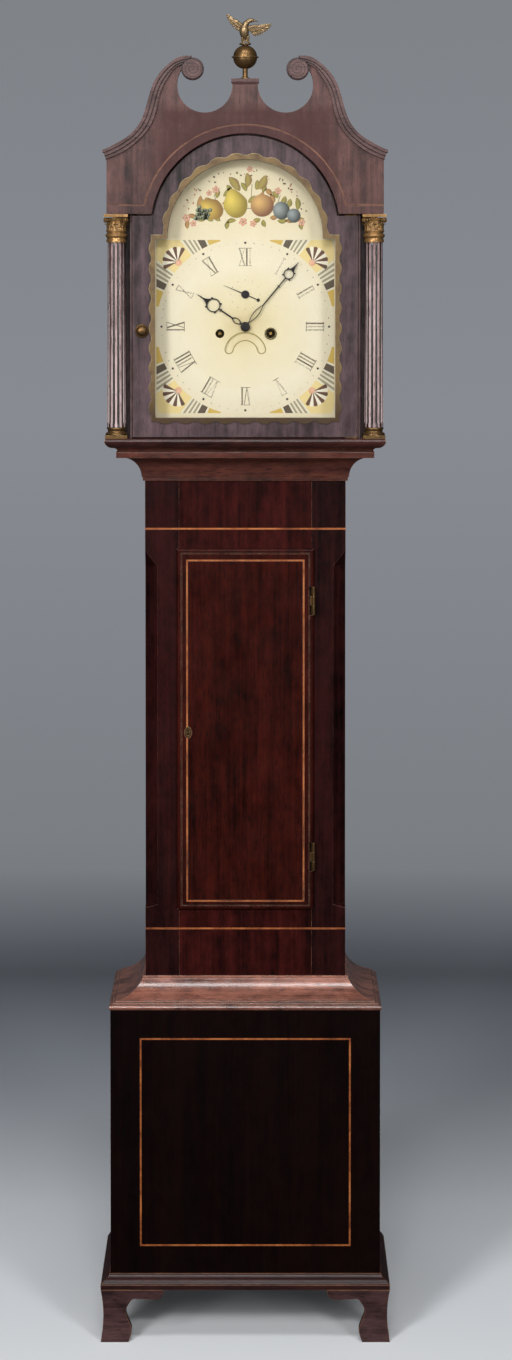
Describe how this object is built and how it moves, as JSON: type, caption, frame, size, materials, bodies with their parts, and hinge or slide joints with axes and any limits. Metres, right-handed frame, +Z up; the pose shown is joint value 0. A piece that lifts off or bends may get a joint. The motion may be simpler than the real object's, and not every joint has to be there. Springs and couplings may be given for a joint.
{
  "type": "longcase clock",
  "caption": "Tall pendulum clock in a wooden case on bracket feet, with a hinged trunk door and a sliding arched hood over a painted dial, and a weight-driven movement inside.",
  "frame": {"origin": "on the floor, under the middle of the case's overall width and depth", "axes": "+Z up, +Y back to the wall, +X to the right as one faces the dial"},
  "size_m": [0.511, 0.254, 2.344],
  "materials": {
    "mahogany": "polished, worn at the edges",
    "secondary_wood": "unpolished",
    "string_inlay": "polished flush",
    "brass": "aged",
    "gilt": "dull gilt",
    "pane": "clear",
    "dial_paint": "aged satin paint",
    "steel": "blued, worn",
    "bell_metal": "cast and turned",
    "iron": "as cast",
    "gut_line": "twisted gut"
  },
  "bodies": {
    "case": {"bracket_feet": "mahogany", "base_moulding": "mahogany", "base_front_panel": "mahogany", "base_sides": "mahogany", "base_floor": "secondary_wood", "base_cove_moulding": "mahogany", "backboard": "secondary_wood", "trunk_sides": "mahogany", "trunk_stiles": "mahogany", "trunk_rails": "mahogany", "case_stringing": "string_inlay", "throat_moulding": "mahogany", "trunk_hinge_leaves": "brass", "seat_board": "secondary_wood", "dial_plate": "dial_paint", "movement_plates": "brass", "movement_pillars": "brass", "bell": "bell_metal", "line_tops": "gut_line"},
    "trunk_door": {"trunk_door": "mahogany", "door_stringing": "string_inlay", "door_escutcheon": "brass", "door_lock_case": "brass", "door_hinge_leaves": "brass"},
    "lock_bolt": {"lock_bolt": "steel"},
    "hood": {"hood_base_frame": "mahogany", "hood_sides": "mahogany", "hood_roof": "secondary_wood", "dial_mask": "mahogany", "hood_front_board": "mahogany", "hood_stringing": "string_inlay", "swan_neck_mouldings": "mahogany", "finial_plinth": "mahogany", "finial_ball": "brass", "finial_eagle": "brass", "hood_columns": "mahogany", "column_capitals": "brass", "column_bases": "brass"},
    "hood_door": {"hood_door_frame": "mahogany", "hood_door_glass": "pane", "hood_door_slip": "gilt", "hood_door_pivots": "brass"},
    "hood_door_knob": {"hood_door_knob": "brass"},
    "minute_hand": {"minute_hand": "steel"},
    "hour_hand": {"hour_hand": "steel"},
    "minute_wheel": {"minute_wheel": "brass"},
    "seconds_hand": {"seconds_hand": "steel"},
    "third_wheel": {"third_wheel": "brass"},
    "centre_wheel": {"centre_wheel": "brass"},
    "calendar_disc": {"calendar_disc": "dial_paint"},
    "anchor_crutch": {"anchor_crutch": "steel"},
    "pendulum": {"pendulum_rod": "steel", "pendulum_bob": "brass"},
    "going_barrel": {"going_barrel": "brass"},
    "strike_barrel": {"strike_barrel": "brass"},
    "going_weight": {"going_weight": "iron", "going_line": "gut_line"},
    "strike_weight": {"strike_weight": "iron", "strike_line": "gut_line"},
    "bell_hammer": {"bell_hammer": "steel"}
  },
  "joints": [
    {"name": "hood_slide", "type": "slide", "parent": "case", "child": "hood", "axis": [0, -1, 0], "range_m": [0, 0.26]},
    {"name": "hood_door_hinge", "type": "hinge", "parent": "hood", "child": "hood_door", "pos_m": [0.193, -0.1025, 1.795], "axis": [0, 0, 1], "range_deg": [0, 100]},
    {"name": "hood_knob_turn", "type": "hinge", "parent": "hood_door", "child": "hood_door_knob", "pos_m": [-0.1815, -0.1, 1.7875], "axis": [0, 1, 0], "range_deg": [0, 90]},
    {"name": "trunk_door_hinge", "type": "hinge", "parent": "case", "child": "trunk_door", "pos_m": [0.1215, -0.0555, 1.076], "axis": [0, 0, 1], "range_deg": [0, 170]},
    {"name": "lock_bolt_slide", "type": "slide", "parent": "trunk_door", "child": "lock_bolt", "axis": [-1, 0, 0], "range_m": [0, 0.007]},
    {"name": "minute_hand_turn", "type": "hinge", "parent": "case", "child": "minute_hand", "pos_m": [0, -0.06, 1.7934], "axis": [0, 1, 0], "continuous": true},
    {"name": "hour_hand_turn", "type": "hinge", "parent": "case", "child": "hour_hand", "pos_m": [0, -0.055, 1.7934], "axis": [0, 1, 0], "continuous": true},
    {"name": "minute_wheel_turn", "type": "hinge", "parent": "case", "child": "minute_wheel", "pos_m": [-0.0198, -0.04, 1.7736], "axis": [0, 1, 0], "continuous": true},
    {"name": "seconds_hand_turn", "type": "hinge", "parent": "case", "child": "seconds_hand", "pos_m": [0, -0.03, 1.8504], "axis": [0, 1, 0], "continuous": true},
    {"name": "third_wheel_turn", "type": "hinge", "parent": "case", "child": "third_wheel", "pos_m": [0.02, 0, 1.822], "axis": [0, 1, 0], "continuous": true},
    {"name": "centre_wheel_turn", "type": "hinge", "parent": "case", "child": "centre_wheel", "pos_m": [0, 0, 1.7934], "axis": [0, 1, 0], "continuous": true},
    {"name": "calendar_turn", "type": "hinge", "parent": "case", "child": "calendar_disc", "pos_m": [0, -0.059, 1.7464], "axis": [0, 1, 0], "continuous": true},
    {"name": "pendulum_swing", "type": "hinge", "parent": "case", "child": "pendulum", "pos_m": [0, 0.058, 1.88], "axis": [0, 1, 0], "range_deg": [-3, 3]},
    {"name": "anchor_rock", "type": "hinge", "parent": "case", "child": "anchor_crutch", "pos_m": [0, 0.01, 1.88], "axis": [0, 1, 0], "range_deg": [-3.2, 3.2]},
    {"name": "going_weight_fall", "type": "slide", "parent": "case", "child": "going_weight", "axis": [0, 0, -1], "range_m": [-0.2, 0.98], "deforming": ["going_line"]},
    {"name": "going_barrel_turn", "type": "hinge", "parent": "case", "child": "going_barrel", "pos_m": [0.045, 0.006, 1.781], "axis": [0, 1, 0], "range_deg": [-1100, 5300]},
    {"name": "strike_weight_fall", "type": "slide", "parent": "case", "child": "strike_weight", "axis": [0, 0, -1], "range_m": [-0.2, 0.95], "deforming": ["strike_line"]},
    {"name": "strike_barrel_turn", "type": "hinge", "parent": "case", "child": "strike_barrel", "pos_m": [-0.045, 0.006, 1.781], "axis": [0, 1, 0], "range_deg": [-5300, 1100]},
    {"name": "bell_hammer_swing", "type": "hinge", "parent": "case", "child": "bell_hammer", "pos_m": [-0.078, 0.044, 1.865], "axis": [0, -1, 0], "range_deg": [0, 10]}
  ],
  "couplings": [
    {"joint": "hour_hand_turn", "follows": "minute_hand_turn", "ratio": 0.083333},
    {"joint": "minute_wheel_turn", "follows": "minute_hand_turn", "ratio": -1},
    {"joint": "third_wheel_turn", "follows": "seconds_hand_turn", "ratio": -0.13333},
    {"joint": "centre_wheel_turn", "follows": "seconds_hand_turn", "ratio": 0.016667},
    {"joint": "anchor_rock", "follows": "pendulum_swing", "ratio": 1},
    {"joint": "going_barrel_turn", "follows": "going_weight_fall", "rad_per_m": 90.909},
    {"joint": "strike_barrel_turn", "follows": "strike_weight_fall", "rad_per_m": -90.909}
  ]
}
